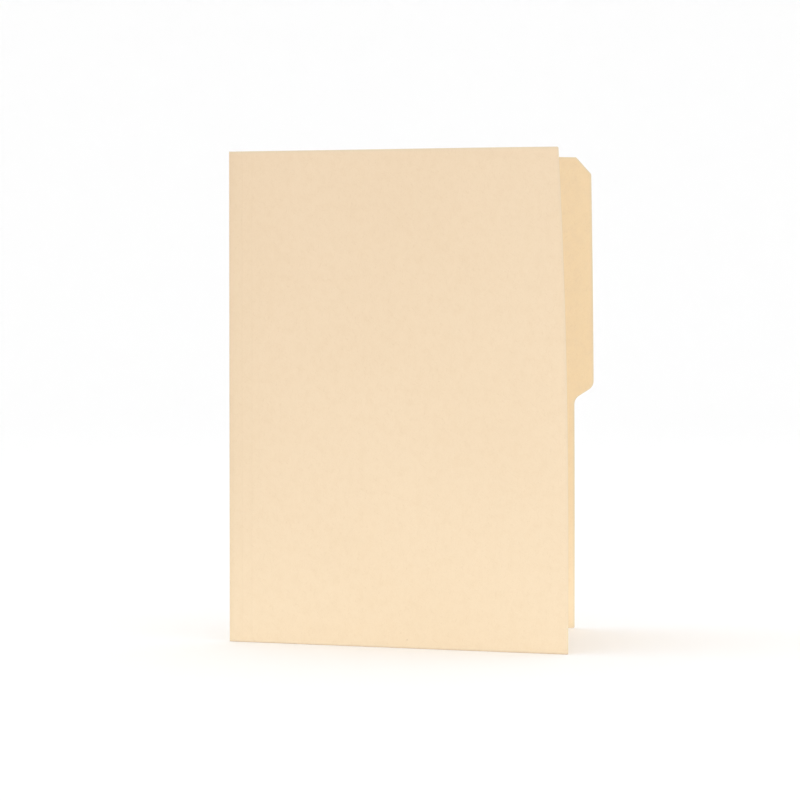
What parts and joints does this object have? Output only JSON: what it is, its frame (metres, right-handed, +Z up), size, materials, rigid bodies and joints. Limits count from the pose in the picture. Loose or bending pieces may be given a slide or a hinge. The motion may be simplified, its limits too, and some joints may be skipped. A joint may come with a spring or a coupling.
{
  "type": "file folder",
  "caption": "Letter-size file folder of manila card, standing half open, with an index tab at one end of the back leaf and expansion scores beside the fold.",
  "frame": {"origin": "foot of the main fold's axis, on the surface that the folder stands on", "axes": "+Z up the fold, +X between the leaves towards their free edges, -Y towards the front cover"},
  "size_m": [0.2251, 0.173, 0.2953],
  "materials": {
    "manila_card": "matte uncoated card, calendered smooth"
  },
  "bodies": {
    "back": {"back_leaf": "manila_card", "main_fold": "manila_card"},
    "strip": {"fold_strip": "manila_card", "first_score": "manila_card"},
    "gusset": {"gusset_strip": "manila_card", "second_score": "manila_card"},
    "cover": {"front_leaf": "manila_card"}
  },
  "joints": [
    {"name": "cover_fold", "type": "hinge", "parent": "back", "child": "strip", "pos_m": [0, 0, 0], "axis": [0, 0, -1], "range_deg": [-44, 136]},
    {"name": "first_score_fold", "type": "hinge", "parent": "strip", "child": "gusset", "pos_m": [0.00721, -0.00352, 0], "axis": [0, 0, -1], "range_deg": [0, 90]},
    {"name": "second_score_fold", "type": "hinge", "parent": "gusset", "child": "cover", "pos_m": [0.0131, -0.00589, 0], "axis": [0, 0, -1], "range_deg": [-90, 0]}
  ],
  "couplings": [
    {"joint": "second_score_fold", "follows": "first_score_fold", "ratio": -1}
  ]
}
